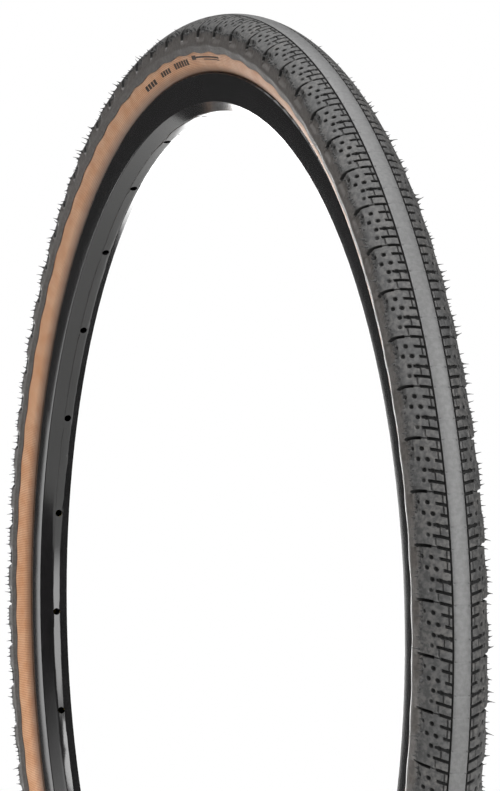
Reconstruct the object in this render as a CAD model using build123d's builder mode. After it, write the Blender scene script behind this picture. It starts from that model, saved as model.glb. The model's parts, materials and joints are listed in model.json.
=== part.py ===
from build123d import *
import os
from math import asin, atan2, cos, degrees, radians, sin, sqrt

# A 700C gravel tire, inflated, on its hollow 28-hole rim. All sizes are in millimetres.
# The axle lies along Y, the wheel stands in the XZ plane with +Z up, and the origin is
# the wheel's centre. Ring sections are drawn with X as the radius and Y as the width.
# Wheel angles run from +X towards +Z.

# ---- Driving dimensions: rim
bead_seat_radius = 311.0  # ISO 622
flange_height = 5.3
inner_half_width = 9.2  # between the flanges
flange_thickness = 1.7
corner_drop = 11.4  # from the bead seat to the corner of flank and slanted facet
flank_taper = 1.6  # how far each flank leans in, from the flange's top to the corner
flank_swell = 0.45  # how far the middle of each flank stands out of a straight line
flank_curve = 100.0
bed_drop = 17.4  # from the bead seat to the spoke bed
bed_half_width = 3.0
well_drop = 3.4
well_half_width = 4.6
seat_inner_half_width = 5.6
rim_wall = 1.4
bed_blend = 3.0
corner_blend = 1.5
flange_blend = 0.8
seat_blend = 0.4

# ---- Driving dimensions: holes
spoke_count = 28
first_spoke_angle = 91.0
spoke_hole_radius = 2.25
access_hole_radius = 4.0
valve_hole_clearance = 0.25

# ---- Driving dimensions: tire
casing_radius = 17.6  # outside of the sidewall skin
bead_height = 4.25  # from the bead seat to where the sidewall starts to lean out
tuck_radius = 1.68  # the sidewall's bend over the flange
skin_thickness = 0.5
ply_thickness = 0.45
liner_thickness = 0.4
breaker_angle = 62.0
bead_clearance = 0.05
bead_core_radius = 1.1
bead_toe_width = 4.0
bead_heel_blend = 0.8
tape_thickness = 0.25
tape_edge_gap = 0.3

# ---- Driving dimensions: tread
crown_thickness = 1.7
crown_flatness = 4.4  # how much larger the crown's radius is than the casing's
shoulder_edge_thickness = 1.2
shoulder_side_thickness = 1.4
shoulder_side_drop = 0.2  # from the casing's centre
wing_angle = 104.0  # where the tread's edge meets the tan skin
wing_thickness = 0.6
strip_half_width = 4.6
strip_groove_width = 1.1
strip_groove_depth = 1.3

# ---- Driving dimensions: rim joint sleeve
sleeve_half_angle = 5.2
sleeve_clearance = 0.1

# ---- Driving dimensions: valve, measured along its axis from the wheel's centre
thread_radius = 2.6  # the free end, which a pump head grips
thread_length = 14.0
stem_radius = 3.0
stem_bore_radius = 1.5
stem_length = 43.5
stem_head_radius = 4.4
stem_head_height = 0.8
base_height = 5.0
base_foot_radius = 4.0
base_top_radius = 4.8
seal_gap = 0.1
o_ring_section_radius = 0.8
nut_radius = 6.0
nut_height = 4.5
nut_bevel = 0.56
nut_groove_count = 24
nut_groove_radius = 0.35
running_clearance = 0.05
core_radius = 2.2
core_depth = 10.0
core_nose_radius = 1.25
core_nose_length = 3.0
core_head_length = 5.0
core_flat_half_width = 1.9
core_flat_length = 3.0
gasket_thickness = 0.8
pin_radius = 0.8
pin_travel = 1.2
pin_head_radius = 1.0
pin_head_height = 0.4
seal_radius = 1.2
seal_thickness = 0.9
core_nut_radius = 1.9
core_nut_height = 2.2
core_nut_groove_count = 12
core_nut_groove_radius = 0.2
core_nut_gap = 0.4
pin_tip_length = 0.8

# ---- Worked out from the driving dimensions
flange_top_radius = bead_seat_radius + flange_height
corner_radius = bead_seat_radius - corner_drop
bed_radius = bead_seat_radius - bed_drop
well_radius = bead_seat_radius - well_drop
outer_half_width = inner_half_width + flange_thickness
corner_half_width = outer_half_width - flank_taper
flank_slope = (outer_half_width - corner_half_width) / (flange_top_radius - corner_radius)
seat_outer_half_width = corner_half_width + flank_slope * (bead_seat_radius - corner_radius)
spoke_step = 360 / spoke_count
spoke_angles = [first_spoke_angle + spoke_step * k for k in range(spoke_count)]
valve_angle = first_spoke_angle + 180 - spoke_step / 2
carcass_thickness = skin_thickness + 2 * ply_thickness + liner_thickness
bead_half_width = inner_half_width - bead_clearance
bead_foot_radius = bead_seat_radius + tape_thickness
wall_cut = 3 * rim_wall  # longer than any wall that a hole is drilled through
valve_hole_radius = stem_radius + valve_hole_clearance

# The sidewall leaves the bead's outer face along the tuck's arc and goes on as the round
# section. The arc is tangent to both, which gives the section's centre.
tuck_centre_radius = bead_seat_radius + bead_height
tuck_centre_width = bead_half_width + tuck_radius
tuck_reach = casing_radius + tuck_radius
casing_centre = tuck_centre_radius + sqrt(tuck_reach**2 - tuck_centre_width**2)
casing_end_angle = 180 - degrees(asin(tuck_centre_width / tuck_reach))

# The tread follows the casing that carries it
tread_radius = casing_centre + casing_radius + crown_thickness
tread_crown_radius = casing_radius + crown_flatness
tread_half_width = casing_radius + shoulder_edge_thickness
shoulder_half_width = casing_radius + shoulder_side_thickness
shoulder_side_radius = casing_centre - shoulder_side_drop

# Valve stations along its axis, as distances from the wheel's centre
well_floor = well_radius + tape_thickness
stem_top = well_floor + base_height + stem_head_height
stem_tip = stem_top - stem_length
o_ring_top = bed_radius - seal_gap
nut_top = o_ring_top - 2 * o_ring_section_radius - seal_gap
core_shoulder = stem_tip + core_depth
gasket_top = core_shoulder + gasket_thickness
core_inner_end = core_shoulder + core_nose_length
core_outer_end = stem_tip - core_head_length
seal_start = core_inner_end + running_clearance
pin_inner_end = seal_start + seal_thickness + pin_head_height
core_nut_top = core_outer_end - pin_travel - core_nut_gap
core_nut_bottom = core_nut_top - core_nut_height
pin_tip = core_nut_bottom - pin_tip_length

os.makedirs("parts", exist_ok=True)


def wheel_plane(angle):
    """The plane through the axle at a wheel angle, with X as the radius and Y as the width."""
    outward = (cos(radians(angle)), 0, sin(radians(angle)))
    return Plane(origin=(0, 0, 0), x_dir=outward, z_dir=(-outward[2], 0, outward[0]))


def radial_plane(angle, radius):
    """A plane across the spoke direction at a wheel angle, its normal pointing at the axle."""
    outward = (cos(radians(angle)), 0, sin(radians(angle)))
    origin = (radius * outward[0], 0, radius * outward[2])
    return Plane(origin=origin, x_dir=(0, 1, 0), z_dir=(-outward[0], 0, -outward[2]))


def save(piece, name):
    """Labels a finished piece and writes it."""
    piece.part.label = name
    export_step(piece.part, f"parts/{name}.step")


# ---- Rim sections: the box that holds the chamber, then the whole extrusion
with BuildSketch() as chamber_section:
    with BuildLine():
        Polyline(
            (bed_radius, 0),
            (bed_radius, bed_half_width),
            (corner_radius, corner_half_width),
            (bead_seat_radius, seat_outer_half_width),
            (bead_seat_radius, seat_inner_half_width),
            (well_radius, well_half_width),
            (well_radius, 0),
        )
        mirror(about=Plane.XZ)
    make_face()
    offset(amount=-rim_wall, kind=Kind.INTERSECTION, mode=Mode.REPLACE)

with BuildSketch() as rim_section:
    with BuildLine():
        flank_middle = (corner_radius + flange_top_radius) / 2
        flank_width = (corner_half_width + outer_half_width) / 2 + flank_swell
        FilletPolyline(
            (bed_radius, 0),
            (bed_radius, bed_half_width),
            (corner_radius, corner_half_width),
            (flank_middle, flank_width),
            (flange_top_radius, outer_half_width),
            (flange_top_radius, inner_half_width),
            (bead_seat_radius, inner_half_width),
            (bead_seat_radius, seat_inner_half_width),
            (well_radius, well_half_width),
            (well_radius, 0),
            radius=[bed_blend, corner_blend, flank_curve, flange_blend, flange_blend]
            + [seat_blend] * 3,
        )
        mirror(about=Plane.XZ)
    make_face()
    add(chamber_section.sketch, mode=Mode.SUBTRACT)

with BuildPart() as rim:
    add(rim_section.sketch)
    revolve(axis=Axis.Y)
    with Locations(*[radial_plane(a, bed_radius) for a in spoke_angles]):
        Cylinder(spoke_hole_radius, wall_cut, mode=Mode.SUBTRACT)
    with Locations(*[radial_plane(a, well_radius) for a in spoke_angles]):
        Cylinder(access_hole_radius, wall_cut, mode=Mode.SUBTRACT)
    with Locations(radial_plane(valve_angle, (bed_radius + well_radius) / 2)):
        Cylinder(valve_hole_radius, well_radius - bed_radius + rim_wall, mode=Mode.SUBTRACT)
save(rim, "rim")

# ---- Sleeve inside the chamber, opposite the valve, where the hoop's two ends meet
with BuildPart() as rim_joint_sleeve:
    with BuildSketch(wheel_plane(valve_angle + 180 + sleeve_half_angle)):
        add(chamber_section.sketch)
        offset(amount=-sleeve_clearance, kind=Kind.INTERSECTION, mode=Mode.REPLACE)
    revolve(axis=Axis.Y, revolution_arc=2 * sleeve_half_angle)
save(rim_joint_sleeve, "rim_joint_sleeve")

# ---- Tape over the well, from flange to flange
with BuildPart() as rim_tape:
    with BuildSketch():
        with BuildLine():
            tape_half_width = inner_half_width - seat_blend - tape_edge_gap
            FilletPolyline(
                (well_radius, 0),
                (well_radius, well_half_width),
                (bead_seat_radius, seat_inner_half_width),
                (bead_seat_radius, tape_half_width),
                (bead_foot_radius, tape_half_width),
                (bead_foot_radius, seat_inner_half_width - tape_thickness / 2),
                (well_floor, well_half_width - tape_thickness / 2),
                (well_floor, 0),
                radius=[seat_blend, seat_blend, 0, 0, seat_blend, seat_blend],
            )
            mirror(about=Plane.XZ)
        make_face()
    revolve(axis=Axis.Y)
    with Locations(radial_plane(valve_angle, well_radius)):
        Cylinder(stem_radius, wall_cut, mode=Mode.SUBTRACT)
save(rim_tape, "rim_tape")


# ---- Tire layers: each lies between two depths under the sidewall's outer surface
def layer_edge(depth, start_angle):
    """One half of a layer's edge, from an angle on the round section to the bead's top."""
    CenterArc((casing_centre, 0), casing_radius - depth, start_angle, casing_end_angle - start_angle)
    CenterArc(
        (tuck_centre_radius, tuck_centre_width),
        tuck_radius + depth,
        casing_end_angle - 180,
        -(casing_end_angle - 90),
    )


def layer_foot(outer_depth, inner_depth):
    """The layer's short end face, where it meets the bead."""
    Line(
        (tuck_centre_radius, bead_half_width - outer_depth),
        (tuck_centre_radius, bead_half_width - inner_depth),
    )


def casing_point(depth, angle):
    """A point on the round part of the section."""
    reach = casing_radius - depth
    return (casing_centre + reach * cos(radians(angle)), reach * sin(radians(angle)))


full_layers = {
    "casing_ply_outer": (skin_thickness, skin_thickness + ply_thickness),
    "casing_ply_inner": (skin_thickness + ply_thickness, skin_thickness + 2 * ply_thickness),
    "inner_liner": (skin_thickness + 2 * ply_thickness, carcass_thickness),
}
for name, (outer_depth, inner_depth) in full_layers.items():
    with BuildPart() as layer:
        with BuildSketch():
            with BuildLine():
                layer_edge(outer_depth, 0)
                layer_foot(outer_depth, inner_depth)
                layer_edge(inner_depth, 0)
                mirror(about=Plane.XZ)
            make_face()
        revolve(axis=Axis.Y)
    save(layer, name)

# The tan skin on each side, from the breaker's edge to the bead
with BuildSketch() as skin_section:
    with BuildLine():
        layer_edge(0, breaker_angle)
        layer_foot(0, skin_thickness)
        layer_edge(skin_thickness, breaker_angle)
        Line(casing_point(0, breaker_angle), casing_point(skin_thickness, breaker_angle))
    make_face()

with BuildPart() as sidewall_right:
    add(skin_section.sketch)
    revolve(axis=Axis.Y)
save(sidewall_right, "sidewall_right")

with BuildPart() as sidewall_left:
    add(mirror(skin_section.sketch, about=Plane.XZ, mode=Mode.PRIVATE))
    revolve(axis=Axis.Y)
save(sidewall_left, "sidewall_left")

# The breaker belt lies under the tread, edge to edge with the two skins
with BuildPart() as breaker_belt:
    with BuildSketch():
        with BuildLine():
            CenterArc((casing_centre, 0), casing_radius, 0, breaker_angle)
            Line(casing_point(0, breaker_angle), casing_point(skin_thickness, breaker_angle))
            CenterArc((casing_centre, 0), casing_radius - skin_thickness, 0, breaker_angle)
            mirror(about=Plane.XZ)
        make_face()
    revolve(axis=Axis.Y)
save(breaker_belt, "breaker_belt")

# ---- Beads: a round core in a block of wrapped fabric that seats between flange and well
bead_inner_width = bead_half_width - bead_toe_width
core_centre = (
    bead_foot_radius + bead_core_radius + skin_thickness,
    bead_half_width - bead_toe_width / 2,
)
with BuildSketch() as bead_core_section:
    with Locations(core_centre):
        Circle(bead_core_radius)

with BuildSketch() as chafer_section:
    with BuildLine():
        FilletPolyline(
            (tuck_centre_radius, bead_half_width - carcass_thickness),
            (tuck_centre_radius, bead_half_width),
            (bead_foot_radius, bead_half_width),
            (bead_foot_radius, bead_inner_width),
            (bead_foot_radius + bead_core_radius, bead_inner_width),
            close=True,
            radius=[0, 0, bead_heel_blend, seat_blend, seat_blend],
        )
    make_face()
    add(bead_core_section.sketch, mode=Mode.SUBTRACT)

ring_sections = {"bead_core": bead_core_section, "chafer": chafer_section}
for name, section in ring_sections.items():
    with BuildPart() as ring_right:
        add(section.sketch)
        revolve(axis=Axis.Y)
    save(ring_right, f"{name}_right")
    with BuildPart() as ring_left:
        add(mirror(section.sketch, about=Plane.XZ, mode=Mode.PRIVATE))
        revolve(axis=Axis.Y)
    save(ring_left, f"{name}_left")


# ---- Tread: a crowned band with two grooves beside its centre strip
def crown_point(width, depth=0.0):
    """A point on the tread's crown at a distance from its middle, or under it."""
    angle = atan2(width, (tread_crown_radius**2 - width**2) ** 0.5)
    reach = tread_crown_radius - depth
    return (tread_radius - tread_crown_radius + reach * cos(angle), reach * sin(angle))


groove_outer = strip_half_width + strip_groove_width
mid_strip = crown_point(strip_half_width / 2)
mid_crown = crown_point((groove_outer + tread_half_width) / 2)
wing_foot = casing_point(0, wing_angle)
wing_edge = casing_point(-wing_thickness, wing_angle)
with BuildPart() as tread:
    with BuildSketch():
        with BuildLine():
            ThreePointArc(crown_point(0), mid_strip, crown_point(strip_half_width))
            Polyline(
                crown_point(strip_half_width),
                crown_point(strip_half_width, strip_groove_depth),
                crown_point(groove_outer, strip_groove_depth),
                crown_point(groove_outer),
            )
            ThreePointArc(crown_point(groove_outer), mid_crown, crown_point(tread_half_width))
            Polyline(
                crown_point(tread_half_width),
                (shoulder_side_radius, shoulder_half_width),
                wing_edge,
                wing_foot,
            )
            CenterArc((casing_centre, 0), casing_radius, 0, wing_angle)
            mirror(about=Plane.XZ)
        make_face()
    revolve(axis=Axis.Y)
save(tread, "tread")


# ---- Valve: every piece is turned about the valve's axis. Sections are drawn with X as
# the distance from that axis and Y as the distance from the wheel's centre.
outward = (cos(radians(valve_angle)), 0, sin(radians(valve_angle)))
valve_axis = Axis((0, 0, 0), outward)
valve_plane = Plane(origin=(0, 0, 0), x_dir=(0, 1, 0), z_dir=Vector(0, 1, 0).cross(Vector(*outward)))


def valve_section(*points):
    """A closed outline of (radius, station) points, to be turned about the valve's axis."""
    with BuildSketch(valve_plane) as section:
        with BuildLine():
            Polyline(*points, close=True)
        make_face()
    return section.sketch


with BuildPart() as valve_base:
    outline = valve_section(
        (stem_radius, well_floor),
        (base_foot_radius, well_floor),
        (base_top_radius, well_floor + base_height),
        (stem_radius, well_floor + base_height),
    )
    add(outline)
    revolve(axis=valve_axis)
save(valve_base, "valve_base")

with BuildPart() as valve_stem:
    outline = valve_section(
        (stem_bore_radius, stem_top),
        (stem_head_radius, stem_top),
        (stem_head_radius, stem_top - stem_head_height),
        (stem_radius, stem_top - stem_head_height),
        (stem_radius, stem_tip + thread_length),
        (thread_radius, stem_tip + thread_length),
        (thread_radius, stem_tip),
        (core_radius, stem_tip),
        (core_radius, gasket_top),
        (stem_bore_radius, gasket_top),
    )
    add(outline)
    revolve(axis=valve_axis)
save(valve_stem, "valve_stem")

with BuildPart() as valve_o_ring:
    with BuildSketch(valve_plane):
        ring_middle = stem_radius + running_clearance + o_ring_section_radius
        with Locations((ring_middle, o_ring_top - o_ring_section_radius)):
            Circle(o_ring_section_radius)
    revolve(axis=valve_axis)
save(valve_o_ring, "valve_o_ring")

with BuildPart() as valve_lock_nut:
    nut_bottom = nut_top - nut_height
    outline = valve_section(
        (stem_radius + running_clearance, nut_top),
        (nut_radius - nut_bevel, nut_top),
        (nut_radius, nut_top - nut_bevel),
        (nut_radius, nut_bottom + nut_bevel),
        (nut_radius - nut_bevel, nut_bottom),
        (stem_radius + running_clearance, nut_bottom),
    )
    add(outline)
    revolve(axis=valve_axis)
    with Locations(radial_plane(valve_angle, nut_top - nut_height / 2)):
        with PolarLocations(nut_radius, nut_groove_count):
            Cylinder(nut_groove_radius, 2 * nut_height, mode=Mode.SUBTRACT)
save(valve_lock_nut, "valve_lock_nut")

with BuildPart() as valve_core_body:
    outline = valve_section(
        (pin_radius + running_clearance, core_outer_end),
        (core_radius, core_outer_end),
        (core_radius, core_shoulder),
        (core_nose_radius, core_shoulder),
        (core_nose_radius, core_inner_end),
        (pin_radius + running_clearance, core_inner_end),
    )
    add(outline)
    revolve(axis=valve_axis)
    flat_middle = core_flat_half_width + core_radius / 2
    with Locations(radial_plane(valve_angle, core_outer_end + core_flat_length / 2)):
        with Locations((flat_middle, 0), (-flat_middle, 0)):
            Box(core_radius, 2 * core_radius, core_flat_length, mode=Mode.SUBTRACT)
save(valve_core_body, "valve_core_body")

with BuildPart() as valve_core_gasket:
    outline = valve_section(
        (core_nose_radius, core_shoulder),
        (core_radius, core_shoulder),
        (core_radius, gasket_top),
        (core_nose_radius, gasket_top),
    )
    add(outline)
    revolve(axis=valve_axis)
save(valve_core_gasket, "valve_core_gasket")

with BuildPart() as valve_core_seal:
    outline = valve_section(
        (pin_radius, seal_start),
        (seal_radius, seal_start),
        (seal_radius, seal_start + seal_thickness),
        (pin_radius, seal_start + seal_thickness),
    )
    add(outline)
    revolve(axis=valve_axis)
save(valve_core_seal, "valve_core_seal")

with BuildPart() as valve_core_pin:
    outline = valve_section(
        (0, pin_tip),
        (pin_radius, pin_tip),
        (pin_radius, seal_start + seal_thickness),
        (pin_head_radius, seal_start + seal_thickness),
        (pin_head_radius, pin_inner_end),
        (0, pin_inner_end),
    )
    add(outline)
    revolve(axis=valve_axis)
save(valve_core_pin, "valve_core_pin")

with BuildPart() as valve_core_nut:
    outline = valve_section(
        (pin_radius + running_clearance, core_nut_top),
        (core_nut_radius, core_nut_top),
        (core_nut_radius, core_nut_bottom),
        (pin_radius + running_clearance, core_nut_bottom),
    )
    add(outline)
    revolve(axis=valve_axis)
    with Locations(radial_plane(valve_angle, (core_nut_top + core_nut_bottom) / 2)):
        with PolarLocations(core_nut_radius, core_nut_groove_count):
            Cylinder(core_nut_groove_radius, 2 * core_nut_height, mode=Mode.SUBTRACT)
save(valve_core_nut, "valve_core_nut")
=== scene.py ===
import json
import math
import random

import bmesh
import bpy
import numpy as np
from mathutils import Matrix, Vector


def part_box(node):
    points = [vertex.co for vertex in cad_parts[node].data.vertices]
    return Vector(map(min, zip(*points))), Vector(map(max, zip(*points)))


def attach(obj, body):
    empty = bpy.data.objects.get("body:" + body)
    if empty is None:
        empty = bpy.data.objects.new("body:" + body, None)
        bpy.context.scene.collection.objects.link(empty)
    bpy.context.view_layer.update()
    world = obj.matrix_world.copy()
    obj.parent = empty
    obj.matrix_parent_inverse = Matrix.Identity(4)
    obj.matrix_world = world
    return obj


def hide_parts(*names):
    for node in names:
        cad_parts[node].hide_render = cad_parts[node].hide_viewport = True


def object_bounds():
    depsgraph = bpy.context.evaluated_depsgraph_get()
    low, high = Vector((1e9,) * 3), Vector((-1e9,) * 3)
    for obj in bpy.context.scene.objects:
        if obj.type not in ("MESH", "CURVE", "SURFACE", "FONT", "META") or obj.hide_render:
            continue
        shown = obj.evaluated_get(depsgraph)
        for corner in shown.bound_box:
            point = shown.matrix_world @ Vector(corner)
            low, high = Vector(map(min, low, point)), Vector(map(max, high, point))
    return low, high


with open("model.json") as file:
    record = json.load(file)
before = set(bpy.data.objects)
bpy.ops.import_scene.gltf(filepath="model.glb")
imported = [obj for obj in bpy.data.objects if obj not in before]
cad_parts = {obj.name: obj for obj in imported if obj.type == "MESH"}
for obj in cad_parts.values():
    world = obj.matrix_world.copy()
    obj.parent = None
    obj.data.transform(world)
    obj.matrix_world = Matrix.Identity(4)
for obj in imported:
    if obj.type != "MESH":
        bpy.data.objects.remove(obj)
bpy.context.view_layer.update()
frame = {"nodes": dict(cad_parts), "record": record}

# The wheel's axle is along Y, and its angles run from +X towards +Z. Lengths in this
# script are in millimetres where a name or a section says so, and MM turns them to metres.
MM = 0.001


def high(node, axis):
    """A CAD node's highest coordinate on an axis, in millimetres."""
    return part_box(node)[1][axis] / MM


# ---- Sizes read from the frame, in millimetres
tread_radius = high("tread", 0)
shoulder_half_width = high("tread", 1)
casing_radius = high("sidewall_right", 1)
casing_centre = high("breaker_belt", 0) - casing_radius
skin_thickness = casing_radius - high("casing_ply_outer", 1)
bead_half_width = high("chafer_right", 1)

# ---- Sizes of the tread's section, which the CAD tread shares, in millimetres
crown_radius = 22.0
crown_half_width = 18.8
shoulder_side_radius = 331.0
wing_angle = 104.0
wing_thickness = 0.6
breaker_angle = 62.0
casing_end_angle = 145.8  # where the sidewall turns out of its round section, towards the bead
tuck_radius = 1.68

# ---- The valve's stem, in millimetres: its free end is thinner than the rest
stem_radius = 3.0
stem_tip_radius = 2.6
stem_tip_length = 14.0
thread_pitch = 0.8
thread_height = 0.3
thread_sink = 0.06  # how far the thread's foot is inside the stem

# ---- The tread's pattern: one pitch, repeated round the tire, and mirrored side to side
pitch_count = 79
pitch_angle = 360 / pitch_count
first_pitch_angle = 1.82
row_count = 5
row_lean = 0.0105  # pitches per millimetre of width, outwards from the strip
lean_width = 14  # the lean stops this far outside the groove
strip_half_width = 4.6
groove_half_width = 5.6
row_half_width = 0.92
row_floor_half_width = 0.6
row_ends = (11.2, 12.8, 12.3, 8.9, 10.4)  # each row's outer end, as a half width
row_depths = (1.7, 1.7, 1.2, 1.3, 1.5)
slot_start, slot_end = 14.0, 25.8
slot_depth = 2.7
# Each dot's row and half width, and how deep it is
dot_places = ((2, 6.2), (2, 10.4), (2, 13.9), (3, 12.1), (3, 15.8), (4, 14.0), (4, 17.5), (1, 14.6))
dot_depths = (1.7, 1.7, 1.5, 1.5, 1.4, 1.5, 1.1, 0.8)
dot_radius = 1.5
# Fine cuts, each from a half width and a row to another half width and row
sipes = ((7.0, 0.64, 7.0, 0.97), (11.8, 0.04, 11.8, 0.15), (9.4, 0.24, 9.4, 0.37))
casing_cover = 0.25  # the least rubber that a groove leaves over the casing


def ramp(x, start, end):
    """0 before start, 1 after end, smooth between them."""
    t = np.clip((x - start) / (end - start), 0, 1)
    return t * t * (3 - 2 * t)


def band(x, start, end, wall):
    """1 between start and end, falling to 0 over a wall outside them."""
    return ramp(x, start - wall, start) * (1 - ramp(x, end, end + wall))


def spread(keys, step):
    """The keys, with evenly spaced values between them so that no gap is over step."""
    out = [keys[0]]
    for a, b in zip(keys, keys[1:]):
        n = max(1, math.ceil((b - a) / step - 1e-6))
        out += [a + (b - a) * (k + 1) / n for k in range(n)]
    return out


def crown_arc(width):
    """The length along the crown from its middle to a half width."""
    return crown_radius * math.asin(width / crown_radius)


# ---- Mesh helpers
def grid_object(name, points, wrap=(True, True)):
    """A mesh of quads over a grid of points in metres, joined end to end where it wraps."""
    nu, nv = points.shape[:2]
    index = np.arange(nu * nv).reshape(nu, nv)
    quads = np.stack(
        [index, np.roll(index, -1, 0), np.roll(index, (-1, -1), (0, 1)), np.roll(index, -1, 1)], -1
    )
    quads = quads[: nu if wrap[0] else nu - 1, : nv if wrap[1] else nv - 1].reshape(-1, 4)
    mesh = bpy.data.meshes.new(name)
    mesh.vertices.add(nu * nv)
    mesh.vertices.foreach_set("co", points.reshape(-1).astype(np.float32))
    mesh.loops.add(quads.size)
    mesh.loops.foreach_set("vertex_index", quads.reshape(-1).astype(np.int32))
    mesh.polygons.add(len(quads))
    mesh.polygons.foreach_set("loop_start", np.arange(0, quads.size, 4, dtype=np.int32))
    mesh.polygons.foreach_set("use_smooth", np.ones(len(quads), dtype=bool))
    mesh.update(calc_edges=True)
    return link(name, mesh)


def link(name, mesh):
    piece = bpy.data.objects.new(name, mesh)
    bpy.context.scene.collection.objects.link(piece)
    return piece


def keep(piece, name, values):
    """Stores numbers on the piece's points, one each or three each, for its material."""
    kind, field = ("FLOAT", "value") if values.ndim == 1 else ("FLOAT_VECTOR", "vector")
    layer = piece.data.attributes.new(name, kind, "POINT")
    layer.data.foreach_set(field, values.reshape(-1).astype(np.float32))


def on_wheel(angle, radius, width):
    """Points in metres from wheel angles in degrees and radii and widths in millimetres."""
    a = np.radians(angle)
    return np.stack([radius * np.cos(a), width + 0 * radius * a, radius * np.sin(a)], -1) * MM


# ---- The tread's section: places along it, by the length from its middle
corner_arc = crown_arc(crown_half_width)
corner_angle = math.asin(crown_half_width / crown_radius)
corner_radius = tread_radius - crown_radius + crown_radius * math.cos(corner_angle)
side_length = math.hypot(corner_radius - shoulder_side_radius, shoulder_half_width - crown_half_width)
wing_edge = (
    casing_centre + (casing_radius + wing_thickness) * math.cos(math.radians(wing_angle)),
    (casing_radius + wing_thickness) * math.sin(math.radians(wing_angle)),
)
wing_length = math.hypot(shoulder_side_radius - wing_edge[0], shoulder_half_width - wing_edge[1])
side_arc = corner_arc + side_length
end_arc = side_arc + wing_length


def section_point(arc):
    """(radius, width) at a length along half the tread's outer section."""
    if arc <= corner_arc:
        a = arc / crown_radius
        return (tread_radius - crown_radius + crown_radius * math.cos(a), crown_radius * math.sin(a))
    corner = (corner_radius, crown_half_width)
    side = (shoulder_side_radius, shoulder_half_width)
    if arc <= side_arc:
        t = (arc - corner_arc) / side_length
        return tuple(c + (s - c) * t for c, s in zip(corner, side))
    t = (arc - side_arc) / wing_length
    return tuple(s + (w - s) * t for s, w in zip(side, wing_edge))


def section_normal(arc):
    """The outward direction in the section, softened over the shoulder's corner."""
    reach = 0.8
    a, b = section_point(max(0, arc - reach)), section_point(min(end_arc, arc + reach))
    if arc < reach:
        b = section_point(arc + reach)
        a = (b[0], -b[1]) if arc == 0 else section_point(0)
    d = (b[0] - a[0], b[1] - a[1])
    n = math.hypot(*d)
    return (d[1] / n, -d[0] / n)


def pattern_depth(row, arc, width):
    """How far the tread's surface lies under its section, in millimetres, on one side."""
    depth = 1.35 * band(width, strip_half_width + 0.12, groove_half_width - 0.12, 0.15)
    pitch_length = math.radians(pitch_angle) * tread_radius
    across = groove_half_width - 0.1
    for k in range(row_count):
        off = (row - k / row_count + 0.5) % 1 - 0.5
        cut = band(off * pitch_length, -row_floor_half_width, row_floor_half_width, 0.3)
        reach = ramp(width, across - 0.2, across)
        reach = reach * (1 - ramp(width, row_ends[k] - 0.3, row_ends[k] + 0.1))
        depth = np.maximum(depth, row_depths[k] * cut * reach * (arc <= corner_arc))
    off = ((row + 0.5) % 1 - 0.5) * pitch_length
    link_cut = band(off, -0.15, 0.15, 0.35) * band(width, row_ends[0] - 0.5, slot_start + 0.5, 0.3)
    depth = np.maximum(depth, 0.7 * link_cut * (arc <= corner_arc))
    slot_cut = band(off, -0.6, 0.6, 0.3) * band(arc, crown_arc(slot_start), slot_end, 0.6)
    depth = np.maximum(depth, slot_depth * slot_cut)
    for (k, place), deep in zip(dot_places, dot_depths):
        off = ((row - k / row_count + 0.5) % 1 - 0.5) * pitch_length
        away = np.hypot(off, arc - crown_arc(place))
        depth = np.maximum(depth, deep * (1 - ramp(away, 0.45 * dot_radius, dot_radius)))
    for width_a, row_a, width_b, row_b in sipes:
        p = np.stack([arc + 0 * row, row * pitch_length + 0 * arc], -1)
        a = np.array([crown_arc(width_a), row_a * pitch_length])
        d = np.array([crown_arc(width_b), row_b * pitch_length]) - a
        t = np.clip(((p - a) @ d) / (d @ d), 0, 1)
        away = np.linalg.norm(p - a - t[..., None] * d, axis=-1)
        depth = np.maximum(depth, 0.7 * (1 - ramp(away, 0.15, 0.45)))
    return depth


def shoulder_drop(row, arc):
    """The shoulder block's outer corner stands proud after each slot and drops before the next."""
    low = ramp(row, 0.5, 0.68) + 0.25 * (1 - ramp(row, 0.0, 0.1))
    along = ramp(arc, corner_arc - 3.6, corner_arc - 0.6)
    along = along * (1 - ramp(arc, corner_arc + 3.5, side_arc - 1.5))
    nicks = (0.5 + 0.5 * np.cos(2 * math.pi * row_count * 2 * row)) ** 2
    edge = ramp(arc, corner_arc - 2.0, corner_arc - 0.4)
    edge = edge * (1 - ramp(arc, corner_arc + 0.6, corner_arc + 2.4))
    clear = ramp(row, 0.06, 0.1) * (1 - ramp(row, 0.9, 0.94))
    return 1.5 * low * along + 0.3 * nicks * edge * clear


def strip_marks(row, width):
    """Two notches in the strip's edge and two shallow lines across it in each pitch."""
    pitch_length = math.radians(pitch_angle) * tread_radius
    depth = 0 * (row + width)
    for at in (0.0, 0.4):
        off = ((row - at + 0.5) % 1 - 0.5) * pitch_length
        depth = np.maximum(depth, 0.9 * band(off, -0.3, 0.3, 0.3) * ramp(width, 3.7, 4.0))
        depth = np.maximum(depth, 0.16 * band(off, -0.1, 0.1, 0.25))
    return depth * (width <= strip_half_width)


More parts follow.
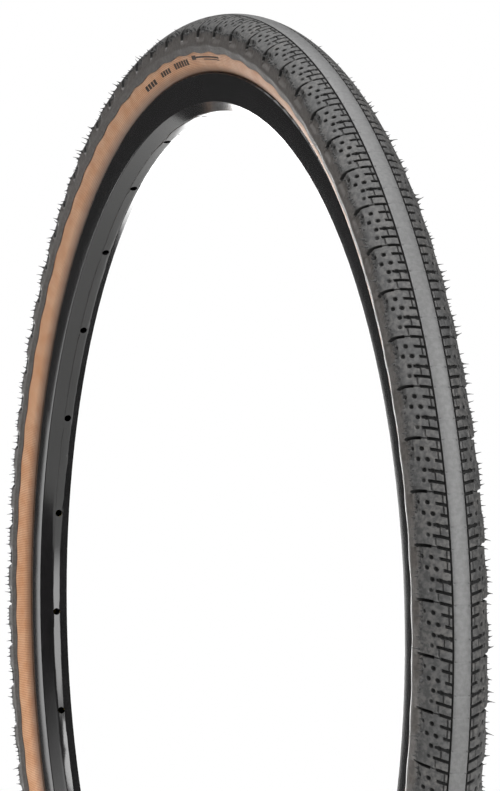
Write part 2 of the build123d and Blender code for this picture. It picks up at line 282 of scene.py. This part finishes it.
def make_tread():
    pitch_length = math.radians(pitch_angle) * tread_radius
    row_length = pitch_length / row_count
    keys = [0, row_floor_half_width, row_half_width, 1.35]
    keys += [row_length - k for k in reversed(keys)]
    one_row = np.array(spread(keys, 0.75)[:-1]) / pitch_length
    rows = np.concatenate([one_row + k / row_count for k in range(row_count)])

    groove = [crown_arc(w) for w in (4.6, 4.75, 5.1, 5.45, 5.6)]
    near = spread([0, 2.4, 3.9, *groove], 1.3)
    blocks = spread([groove[-1], corner_arc - 0.7, corner_arc, corner_arc + 0.7], 0.52)
    side = spread([corner_arc + 0.7, slot_end + 0.6, side_arc], 0.9)
    wing = spread([side_arc, end_arc], 0.9)
    arcs = np.array(near + blocks[1:] + side[1:] + wing[1:])
    places = np.array([section_point(a) for a in arcs])
    normals = np.array([section_normal(a) for a in arcs])

    row, arc = rows[:, None], arcs[None, :]
    width = places[None, :, 1]
    depth = np.maximum(pattern_depth(row, arc, width), strip_marks(row, width))
    drop = depth + shoulder_drop(row, arc)
    shift = row_lean * np.clip(width - groove_half_width, 0, lean_width)
    wave = 0.5 + 0.5 * np.cos(2 * math.pi * (row - 0.3))
    pull = 1.1 * wave * ramp(arc, side_arc - 4, end_arc)  # the wing's scalloped edge
    radius = places[None, :, 0] - drop * normals[None, :, 0] + pull
    half = places[None, :, 1] - drop * normals[None, :, 1]
    reach = np.hypot(radius - casing_centre, half)
    cover = np.where(arc > side_arc, wing_thickness * 0.8, casing_cover)
    scale = np.maximum(reach, casing_radius + cover) / reach
    radius = casing_centre + (radius - casing_centre) * scale
    half = half * scale

    inner_angles = np.radians(np.linspace(wing_angle, -wing_angle, 15))
    edge_angle = np.arctan2(half[:, -1], radius[:, -1] - casing_centre)
    inner_a = inner_angles[None, :] * (edge_angle / inner_angles[0])[:, None]
    inner_r = casing_centre + casing_radius * np.cos(inner_a)
    inner_y = casing_radius * np.sin(inner_a)
    end_shift = np.full(inner_a.shape, shift.max())

    ring_r = np.concatenate([radius[:, :0:-1], radius, inner_r], 1)
    ring_y = np.concatenate([-half[:, :0:-1], half, inner_y], 1)
    full = shift + 0 * radius
    ring_t = np.concatenate([full[:, :0:-1], full, end_shift], 1)
    ring_d = np.concatenate([depth[:, :0:-1], depth, 0 * inner_a], 1)
    arc_all = np.concatenate([-arcs[:0:-1], arcs, np.zeros(len(inner_angles))])

    turns = np.arange(pitch_count)[:, None, None]
    angle = first_pitch_angle + (turns + row[None, :, :] + ring_t[None]) * pitch_angle
    points = on_wheel(angle, ring_r[None], ring_y[None]).reshape(-1, ring_r.shape[1], 3)
    tread = grid_object("tread_blocks", points[:, ::-1])
    keep(tread, "relief", np.tile(ring_d[:, ::-1], (pitch_count, 1)).reshape(-1))
    along = np.broadcast_to(angle, (pitch_count, *ring_r.shape)) * math.radians(1) * tread_radius
    around = np.stack([along, arc_all + 0 * along, ring_r[None] + 0 * along], -1)
    keep(tread, "polar", around.reshape(-1, ring_r.shape[1], 3)[:, ::-1].reshape(-1, 3))
    tread.data.set_sharp_from_angle(angle=math.radians(38))
    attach(tread, "root")
    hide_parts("tread")
    return tread


def hair_base(row, arc, side):
    """A place on the shoulder and the way out of it, in metres."""
    drop = float(shoulder_drop(np.array(row % 1), np.array(arc)))
    radius, width = section_point(arc)
    out_radius, out_width = section_normal(arc)
    shift = row_lean * (min(width, groove_half_width + lean_width) - groove_half_width)
    angle = first_pitch_angle + (row + shift) * pitch_angle
    places = []
    for d in (-drop, 1 - drop):
        reach = np.array(radius + d * out_radius)
        half = np.array(side * (width + d * out_width))
        places.append(Vector(on_wheel(np.array(angle), reach, half)))
    return places[0], (places[1] - places[0]).normalized()


def make_hairs():
    """The thin rubber hairs that the mould's vents leave along both shoulders."""
    rng = random.Random(11)
    points, faces = [], []
    sides = 5
    rings = ((0.0, 1.2), (0.18, 0.75), (0.42, 0.36), (0.72, 0.19), (1.0, 0.08))  # place, radius in mm
    for k in range(2 * pitch_count * row_count):
        for side in (-1, 1):
            if k % (2 * row_count) == 0:
                continue  # a slot is here
            row = k / 2 / row_count + rng.uniform(-0.02, 0.02)
            arc = corner_arc + rng.uniform(-1.8, 1.2)
            base, way = hair_base(row, arc, side)
            long = rng.uniform(2.0, 4.4) if k % 2 else rng.uniform(1.0, 2.4)
            bend = Vector([rng.uniform(-1, 1) for _ in range(3)]) * 0.25
            cross = way.cross(Vector((0.3, 0.2, 0.9))).normalized()
            other = way.cross(cross)
            first = len(points)
            for t, thick in rings:
                centre = base + (way * (long * t - 0.3) + bend * long * t * t) * MM
                for turn in range(sides):
                    a = 2 * math.pi * turn / sides
                    points.append(centre + (cross * math.cos(a) + other * math.sin(a)) * thick * MM)
            for ring in range(len(rings) - 1):
                for turn in range(sides):
                    a = first + ring * sides + turn
                    b = first + ring * sides + (turn + 1) % sides
                    faces.append((a, b, b + sides, a + sides))
            faces.append(tuple(first + turn for turn in reversed(range(sides))))
            faces.append(tuple(len(points) - sides + turn for turn in range(sides)))
    mesh = bpy.data.meshes.new("vent_hairs")
    mesh.from_pydata([tuple(p) for p in points], [], faces)
    mesh.update()
    hairs = link("vent_hairs", mesh)
    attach(hairs, "root")
    return hairs


# ---- Materials
def shader(name):
    """A new material, and its tree and Principled BSDF."""
    material = bpy.data.materials.new(name)
    material.use_nodes = True
    return material, material.node_tree, material.node_tree.nodes["Principled BSDF"]


def node(tree, kind, inputs=None, **settings):
    made = tree.nodes.new(kind)
    for key, value in settings.items():
        setattr(made, key, value)
    for key, value in (inputs or {}).items():
        if isinstance(value, bpy.types.NodeSocket):
            tree.links.new(value, made.inputs[key])
        else:
            made.inputs[key].default_value = value
    return made


def math_node(tree, operation, *values):
    return node(tree, "ShaderNodeMath", dict(enumerate(values)), operation=operation).outputs[0]


def noise(tree, vector, scale, detail=3.0, roughness=0.55):
    inputs = {"Vector": vector, "Scale": scale, "Detail": detail, "Roughness": roughness}
    return node(tree, "ShaderNodeTexNoise", inputs).outputs["Fac"]


def remap(tree, value, low, high, to_low, to_high):
    inputs = {0: value, 1: low, 2: high, 3: to_low, 4: to_high}
    return node(tree, "ShaderNodeMapRange", inputs, clamp=True).outputs[0]


def mixed(tree, factor, a, b):
    """Colour a turning into colour b."""
    made = node(tree, "ShaderNodeMix", data_type="RGBA")
    for key, value in ((0, factor), (6, a), (7, b)):
        if isinstance(value, bpy.types.NodeSocket):
            tree.links.new(value, made.inputs[key])
        else:
            made.inputs[key].default_value = value
    return made.outputs[2]


def bumped(tree, bsdf, height, distance, strength=1.0):
    inputs = {"Height": height, "Distance": distance, "Strength": strength}
    tree.links.new(node(tree, "ShaderNodeBump", inputs).outputs[0], bsdf.inputs["Normal"])


def attribute(tree, name, output="Fac"):
    return node(tree, "ShaderNodeAttribute", attribute_name=name).outputs[output]


def grey(v, warm=0.0):
    return (v * (1 + warm), v, v * (1 - warm), 1)


def rubber_material():
    """Dark pebbled blocks with painted shade in the grooves, a smooth middle strip whose lighter grey is
    a painted sheen, and smoother shoulders.
    """
    material, tree, bsdf = shader("tread_rubber")
    place = node(tree, "ShaderNodeTexCoord").outputs["Object"]
    # The deeper grooves turn near black, which is painted shade in the recesses, and the same mask makes
    # them rougher
    groove_shade_mask = remap(tree, attribute(tree, "relief"), 0.15, 0.8, 0, 1)
    parts = node(tree, "ShaderNodeSeparateXYZ", {0: attribute(tree, "polar", "Vector")}).outputs
    out = math_node(tree, "ABSOLUTE", parts[1])
    strip = remap(tree, out, strip_half_width - 0.2, strip_half_width + 0.2, 1, 0)
    wing = remap(tree, out, corner_arc - 1, corner_arc + 3, 0, 1)
    grain = noise(tree, place, 2200, 2)
    patches = remap(tree, noise(tree, place, 60, 4), 0.35, 0.65, 0, 1)
    specks = remap(tree, noise(tree, place, 420, 3), 0.4, 0.62, 0, 1)
    blocks = mixed(tree, specks, grey(0.028), mixed(tree, patches, grey(0.055), grey(0.076, 0.05)))
    sides = mixed(tree, specks, (0.052, 0.047, 0.043, 1), (0.082, 0.074, 0.069, 1))
    # The strip's lighter grey is a painted sheen, on top of its lower roughness
    middle = mixed(tree, specks, grey(0.088), grey(0.11))
    top = mixed(tree, strip, mixed(tree, wing, blocks, sides), middle)
    tree.links.new(mixed(tree, groove_shade_mask, top, grey(0.005)), bsdf.inputs["Base Color"])
    smooth = math_node(tree, "MULTIPLY", math_node(tree, "ADD", strip, wing), -0.13)
    rough = math_node(tree, "ADD", remap(tree, grain, 0.3, 0.7, 0.48, 0.62), smooth)
    rough = math_node(tree, "ADD", rough, math_node(tree, "MULTIPLY", groove_shade_mask, 0.3))
    tree.links.new(rough, bsdf.inputs["Roughness"])
    bumped(tree, bsdf, grain, 0.00012, 0.7)
    return material


def tan_material():
    material, tree, bsdf = shader("tan_skin")
    polar = attribute(tree, "polar", "Vector")
    parts = node(tree, "ShaderNodeSeparateXYZ", {0: polar}).outputs
    heights = []
    for way in (1, -1):
        slanted = math_node(tree, "ADD", parts[0], math_node(tree, "MULTIPLY", parts[1], 1.15 * way))
        heights.append(math_node(tree, "SINE", math_node(tree, "MULTIPLY", slanted, 2 * math.pi / 2.3)))
    weave = math_node(tree, "MULTIPLY", heights[0], heights[1])
    patches = noise(tree, polar, 0.09, 3)
    fine = noise(tree, polar, 1.4, 2)
    tone = remap(tree, patches, 0.35, 0.65, 0, 1)
    base = mixed(tree, tone, (0.52, 0.27, 0.14, 1), (0.64, 0.40, 0.25, 1))
    threads = remap(tree, math_node(tree, "ADD", weave, fine), -0.2, 0.9, 0, 1)
    cloth = mixed(tree, threads, (0.27, 0.11, 0.048, 1), base)
    foot_start, foot_end = (casing_radius * math.radians(a) for a in (126, 146))
    foot_shade_and_chafer = remap(tree, parts[1], foot_start, foot_end, 0, 1)  # darker towards the rim: mostly painted shade under the rim's flange, partly the dark chafer
    tree.links.new(mixed(tree, foot_shade_and_chafer, cloth, (0.10, 0.05, 0.028, 1)), bsdf.inputs["Base Color"])
    tree.links.new(remap(tree, fine, 0.3, 0.7, 0.32, 0.46), bsdf.inputs["Roughness"])
    bumped(tree, bsdf, weave, 0.00005, 0.6)
    return material


def plain_material(name, low, high, rough, metallic=0.0, scale=400, bump=0.00003):
    """A base colour between two tints, with roughness and bump from the same fine grain."""
    material, tree, bsdf = shader(name)
    place = node(tree, "ShaderNodeTexCoord").outputs["Object"]
    patches = noise(tree, place, scale / 8, 3)
    grain = noise(tree, place, scale * 4, 2)
    tint = mixed(tree, remap(tree, patches, 0.35, 0.65, 0, 1), (*low, 1), (*high, 1))
    tree.links.new(tint, bsdf.inputs["Base Color"])
    tree.links.new(remap(tree, grain, 0.3, 0.7, *rough), bsdf.inputs["Roughness"])
    bsdf.inputs["Metallic"].default_value = metallic
    bumped(tree, bsdf, grain, bump, 0.6)
    return material


def dress(piece, material):
    piece.data.materials.clear()
    piece.data.materials.append(material)


def dress_node(name, material):
    """Gives a CAD node a material, through its object's own slots."""
    piece = frame["nodes"][name]
    for held in piece.material_slots:
        held.link = "OBJECT"
        held.material = material


rubber = rubber_material()
tan = tan_material()
# Each slot's two tints and its roughness, then metallic, grain per metre and bump where they differ
finishes = {
    "rim_black": ((0.005, 0.005, 0.005), (0.008, 0.0075, 0.008), (0.10, 0.14), 0, 400, 0.0),
    "sleeve_aluminium": ((0.7, 0.7, 0.72), (0.8, 0.8, 0.81), (0.3, 0.45), 1.0),
    "tape_film": ((0.8, 0.55, 0.06), (0.88, 0.64, 0.1), (0.3, 0.4)),
    "belt_fabric": ((0.62, 0.58, 0.46), (0.72, 0.68, 0.56), (0.7, 0.85), 0, 900),
    "casing_cord": ((0.5, 0.38, 0.22), (0.62, 0.48, 0.3), (0.6, 0.8), 0, 900),
    "liner_rubber": ((0.02, 0.02, 0.021), (0.03, 0.03, 0.031), (0.45, 0.6)),
    "bead_fibre": ((0.7, 0.55, 0.16), (0.82, 0.68, 0.26), (0.5, 0.7), 0, 1200),
    "chafer_fabric": ((0.045, 0.042, 0.04), (0.07, 0.065, 0.06), (0.6, 0.8), 0, 1200),
    "valve_brass": ((0.40, 0.385, 0.36), (0.50, 0.485, 0.46), (0.24, 0.36), 1.0),
    "nut_aluminium": ((0.03, 0.03, 0.032), (0.045, 0.045, 0.048), (0.28, 0.4), 0.4),
    "seal_rubber": ((0.02, 0.02, 0.02), (0.032, 0.032, 0.032), (0.5, 0.7)),
}
looks = {slot: plain_material(slot, *finish) for slot, finish in finishes.items()}


def make_skin(name, side):
    """The tan sidewall, from under the tread down to the bead, with its moulded lines."""
    reach = casing_radius + tuck_radius
    centre_width = bead_half_width + tuck_radius
    centre_radius = casing_centre - math.sqrt(reach**2 - centre_width**2)
    section, polar_v = [], []
    for a in np.radians(spread([breaker_angle, 100, casing_end_angle], 2.2)):
        section.append((casing_centre + casing_radius * math.cos(a), casing_radius * math.sin(a)))
        polar_v.append(casing_radius * a)
    for a in np.radians(np.linspace(casing_end_angle - 180, -90, 6)[1:]):
        place = (tuck_radius * math.cos(a), tuck_radius * math.sin(a))
        section.append((centre_radius + place[0], centre_width + place[1]))
        polar_v.append(polar_v[-1] + 0.3)
    section.append((centre_radius, bead_half_width - skin_thickness))
    polar_v.append(polar_v[-1] + 0.5)
    for a in np.radians(spread([breaker_angle, casing_end_angle], 9))[::-1]:
        reach_in = casing_radius - skin_thickness
        section.append((casing_centre + reach_in * math.cos(a), reach_in * math.sin(a)))
        polar_v.append(casing_radius * a)
    section = np.array(section)
    angle = np.linspace(0, 360, 720, endpoint=False)[:, None]
    points = on_wheel(angle, section[None, :, 0], side * section[None, :, 1])
    skin = grid_object(name, points[:, :: -side])
    along = np.radians(angle) * 320 + 0 * section[None, :, 0]
    polar = np.stack([along, np.array(polar_v)[None] + 0 * along, 0 * along], -1)[:, :: -side]
    keep(skin, "polar", polar.reshape(-1, 3))
    dress(skin, tan)
    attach(skin, "root")
    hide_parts("sidewall_right" if side > 0 else "sidewall_left")
    return skin


def make_marks():
    """Plain bars and an arrow that stand in for the print on the left sidewall."""
    # Each bar's middle and width round the wheel, and its ends in the section, in degrees
    bars = [(98.7 + 0.85 * k, 0.6, 115.5, 126.5) for k in range(4)]
    bars += [(94.0 + 0.72 * k, 0.5, 113.0, 123.0) for k in range(4)]
    bars += [(88.4 + 0.72 * k, 0.52, 110.5, 122.5) for k in range(6)]
    bars += [(82.8, 7.6, 109.3, 112.3), (86.2, 1.1, 106.8, 115.0), (81.2, 4.4, 114.6, 116.6)]
    points, faces = [], []
    for middle, wide, top, bottom in bars:
        first = len(points)
        across, down = max(2, round(wide / 0.3)), 4
        for lift in (0.02, 0.09):
            for k in range(across + 1):
                for j in range(down + 1):
                    a = math.radians(top + (bottom - top) * j / down)
                    reach = casing_radius + lift
                    turn = middle + wide * (k / across - 0.5)
                    radius = np.array(casing_centre + reach * math.cos(a))
                    half = np.array(-reach * math.sin(a))
                    points.append(tuple(on_wheel(np.array(turn), radius, half)))
        layer = (across + 1) * (down + 1)

        def at(k, j, level):
            return first + level * layer + k * (down + 1) + j

        for k in range(across):
            for j in range(down):
                faces.append((at(k, j, 0), at(k, j + 1, 0), at(k + 1, j + 1, 0), at(k + 1, j, 0)))
                faces.append((at(k, j, 1), at(k + 1, j, 1), at(k + 1, j + 1, 1), at(k, j + 1, 1)))
        rim = [(k, 0) for k in range(across)] + [(across, j) for j in range(down)]
        rim += [(k, down) for k in range(across, 0, -1)] + [(0, j) for j in range(down, 0, -1)]
        for (k, j), (m, n) in zip(rim, rim[1:] + rim[:1]):
            faces.append((at(k, j, 0), at(m, n, 0), at(m, n, 1), at(k, j, 1)))
    mesh = bpy.data.meshes.new("sidewall_marks")
    mesh.from_pydata(points, [], faces)
    mesh.update()
    marks = link("sidewall_marks", mesh)
    dress(marks, plain_material("mark_ink", (0.012, 0.008, 0.006), (0.03, 0.016, 0.01), (0.5, 0.6)))
    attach(marks, "root")
    return marks


def make_turned_copy(name, source, slot):
    """A copy of a turned CAD node's mesh, whose normals follow the turning exactly."""
    original = frame["nodes"][source]
    mesh = original.data.copy()
    mesh.transform(original.matrix_world)
    welded = bmesh.new()
    welded.from_mesh(mesh)
    bmesh.ops.remove_doubles(welded, verts=welded.verts, dist=2e-6)
    welded.to_mesh(mesh)
    welded.free()
    mesh.polygons.foreach_set("use_smooth", np.ones(len(mesh.polygons), dtype=bool))
    places = np.array([v.co for v in mesh.vertices])
    corners = np.array([loop.vertex_index for loop in mesh.loops])
    faces = np.zeros(len(corners), dtype=int)
    for face in mesh.polygons:
        faces[face.loop_start : face.loop_start + face.loop_total] = face.index
    normals = np.array([face.normal for face in mesh.polygons])[faces]
    areas = np.array([face.area for face in mesh.polygons])[faces]
    at = places[corners]
    turn = np.stack([-at[:, 2], 0 * at[:, 0], at[:, 0]], -1)
    turn /= np.linalg.norm(turn, axis=1)[:, None]
    along = (normals * turn).sum(1)[:, None]
    normals = np.where(np.abs(along) < 0.3, normals - along * turn, normals)
    normals /= np.linalg.norm(normals, axis=1)[:, None]
    smooth = normals.copy()
    order = np.argsort(corners, kind="stable")
    for group in np.split(order, np.flatnonzero(np.diff(corners[order])) + 1):
        near = (normals[group] @ normals[group].T) > 0.88
        smooth[group] = (near * areas[group][None, :]) @ normals[group]
    smooth /= np.linalg.norm(smooth, axis=1)[:, None]
    mesh.normals_split_custom_set(smooth.tolist())
    piece = link(name, mesh)
    dress(piece, looks[slot])
    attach(piece, "root")
    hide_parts(source)


def make_thread():
    """The rolled thread on the valve's stem: one ridge wound from its free end to its nut."""
    nut_low, nut_high = (Vector(corner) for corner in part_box("valve_lock_nut"))
    nut_middle = (nut_low + nut_high) / 2
    out = Vector((nut_middle.x, 0, nut_middle.z)).normalized()
    across = Vector((0, 1, 0))
    other = out.cross(across)
    tip = (-high("valve_stem", 2) + stem_tip_radius * abs(out.x)) / abs(out.z)
    sides = 20
    count = int((nut_middle.length / MM - tip) / thread_pitch * sides)
    # Places along the stem and off it
    ridge = ((-0.34, 0), (-0.06, thread_height), (0.06, thread_height), (0.34, 0))
    points = np.zeros((count, len(ridge), 3))
    for k in range(count):
        turn = 2 * math.pi * k / sides
        fade = min(1, k / sides, (count - 1 - k) / sides)
        place = tip + 0.5 + thread_pitch * k / sides
        root = (stem_tip_radius if place < tip + stem_tip_length - 0.1 else stem_radius) - thread_sink
        for j, (shift, rise) in enumerate(ridge):
            middle = out * (place + shift)
            reach = root + rise * fade
            points[k, j] = (middle + (across * math.cos(turn) + other * math.sin(turn)) * reach) * MM
    thread = grid_object("stem_thread", points, (False, True))
    dress(thread, looks["valve_brass"])
    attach(thread, "root")


# ---- The pieces
dress(make_tread(), rubber)
make_turned_copy("rim_shell", "rim", "rim_black")
make_thread()
make_marks()
dress(make_hairs(), looks["seal_rubber"])
make_skin("skin_right", 1)
make_skin("skin_left", -1)
slots = {part["node"]: part["material_slot"] for part in frame["record"]["subparts"]}
for name, slot in slots.items():
    if slot in looks:
        dress_node(name, looks[slot])


# ---- Camera: level with the axle, to the front left of the wheel, slightly rolled
camera_angles = (68.668, -2.0493, -0.5607)  # azimuth, elevation and roll, in degrees
camera_aim = Vector((0.0643, 0, 0.1256))
camera_distance = 1.98607


def make_camera():
    azimuth, elevation, roll = (math.radians(a) for a in camera_angles)
    level = math.cos(elevation)
    back = Vector((math.sin(azimuth) * level, -math.cos(azimuth) * level, math.sin(elevation)))
    right = Vector((math.cos(azimuth), math.sin(azimuth), 0))
    up = back.cross(right)
    across = right * math.cos(roll) + up * math.sin(roll)
    rise = up * math.cos(roll) - right * math.sin(roll)
    data = bpy.data.cameras.new("camera")
    data.lens = 158.19
    data.sensor_width = 36
    camera = bpy.data.objects.new("camera", data)
    bpy.context.scene.collection.objects.link(camera)
    place = camera_aim + back * camera_distance
    camera.matrix_world = Matrix(
        (
            (across.x, rise.x, back.x, place.x),
            (across.y, rise.y, back.y, place.y),
            (across.z, rise.z, back.z, place.z),
            (0, 0, 0, 1),
        )
    )
    bpy.context.scene.camera = camera


# Soft boxes: each one's direction, the angles where it starts and stops fading, and its strength
studio_lobes = (
    ((0.94, 0.33, 0.08), 10, 22, 7.2),  # the key, which the strip and the spoke bed mirror
    ((-0.815, -0.575, -0.10), 2, 6.5, 4.6),  # the stripe along the rim's flank
    ((0.0, -0.25, 1.0), 25, 60, 2.6),
    ((0.35, -0.62, 0.70), 14, 38, 1.5),
    ((-0.995, 0.06, -0.02), 5, 13, 3.6),  # the grazing sheen on the near shoulder
    ((-0.93, 0.33, -0.10), 8, 26, 4.0),
)


def lobe(tree, way, axis, inner, outer, strength):
    """Light from round one direction, full inside an angle and gone outside another."""
    axis = Vector(axis).normalized()
    dot = node(tree, "ShaderNodeVectorMath", {0: way, 1: axis}, operation="DOT_PRODUCT").outputs["Value"]
    low, high = (math.cos(math.radians(a)) for a in (outer, inner))
    inputs = {0: dot, 1: low, 2: high, 3: 0.0, 4: strength}
    settings = {"clamp": True, "interpolation_type": "SMOOTHSTEP"}
    return node(tree, "ShaderNodeMapRange", inputs, **settings).outputs[0]


def make_world():
    """White behind the object, and a studio of soft boxes and dark flags for what lights it."""
    world = bpy.data.worlds.new("studio")
    bpy.context.scene.world = world
    world.use_nodes = True
    tree = world.node_tree
    tree.nodes.clear()
    seen = node(tree, "ShaderNodeBackground", {"Color": (1, 1, 1, 1), "Strength": 1.0}).outputs[0]
    way = node(tree, "ShaderNodeTexCoord").outputs["Generated"]
    total = 0.08
    for axis, inner, outer, strength in studio_lobes:
        total = math_node(tree, "ADD", lobe(tree, way, axis, inner, outer, strength), total)
    light = node(tree, "ShaderNodeBackground", {"Color": (1, 1, 1, 1), "Strength": total}).outputs[0]
    camera_ray = node(tree, "ShaderNodeLightPath").outputs["Is Camera Ray"]
    both = node(tree, "ShaderNodeMixShader", {0: camera_ray, 1: light, 2: seen}).outputs[0]
    node(tree, "ShaderNodeOutputWorld", {0: both})


def area(name, place, aim, size, power):
    data = bpy.data.lights.new(name, "AREA")
    data.shape = "DISK"
    data.size = size
    data.energy = power
    lamp = bpy.data.objects.new(name, data)
    bpy.context.scene.collection.objects.link(lamp)
    lamp.location = place
    lamp.rotation_mode = "QUATERNION"
    lamp.rotation_quaternion = (Vector(aim) - Vector(place)).to_track_quat("-Z", "Y")


def make_floor():
    floor_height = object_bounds()[0][2] - 0.0006
    rings = np.geomspace(0.001, 1.3, 14)
    angle = np.linspace(0, 2 * math.pi, 96, endpoint=False)[:, None]
    points = np.stack(
        [rings * np.cos(angle), rings * np.sin(angle), floor_height + 0 * rings * angle], -1
    )
    floor = grid_object("floor", points, (True, False))
    pale = plain_material("floor", (0.82, 0.82, 0.81), (0.86, 0.86, 0.85), (0.7, 0.85), 0, 20, 0.0002)
    dress(floor, pale)


# ---- The stage
make_camera()
make_world()
area("top", (2.0, 1.3, 1.6), (0.2, 0, 0.05), 1.0, 26)
make_floor()
bpy.context.scene.view_settings.view_transform = "Standard"
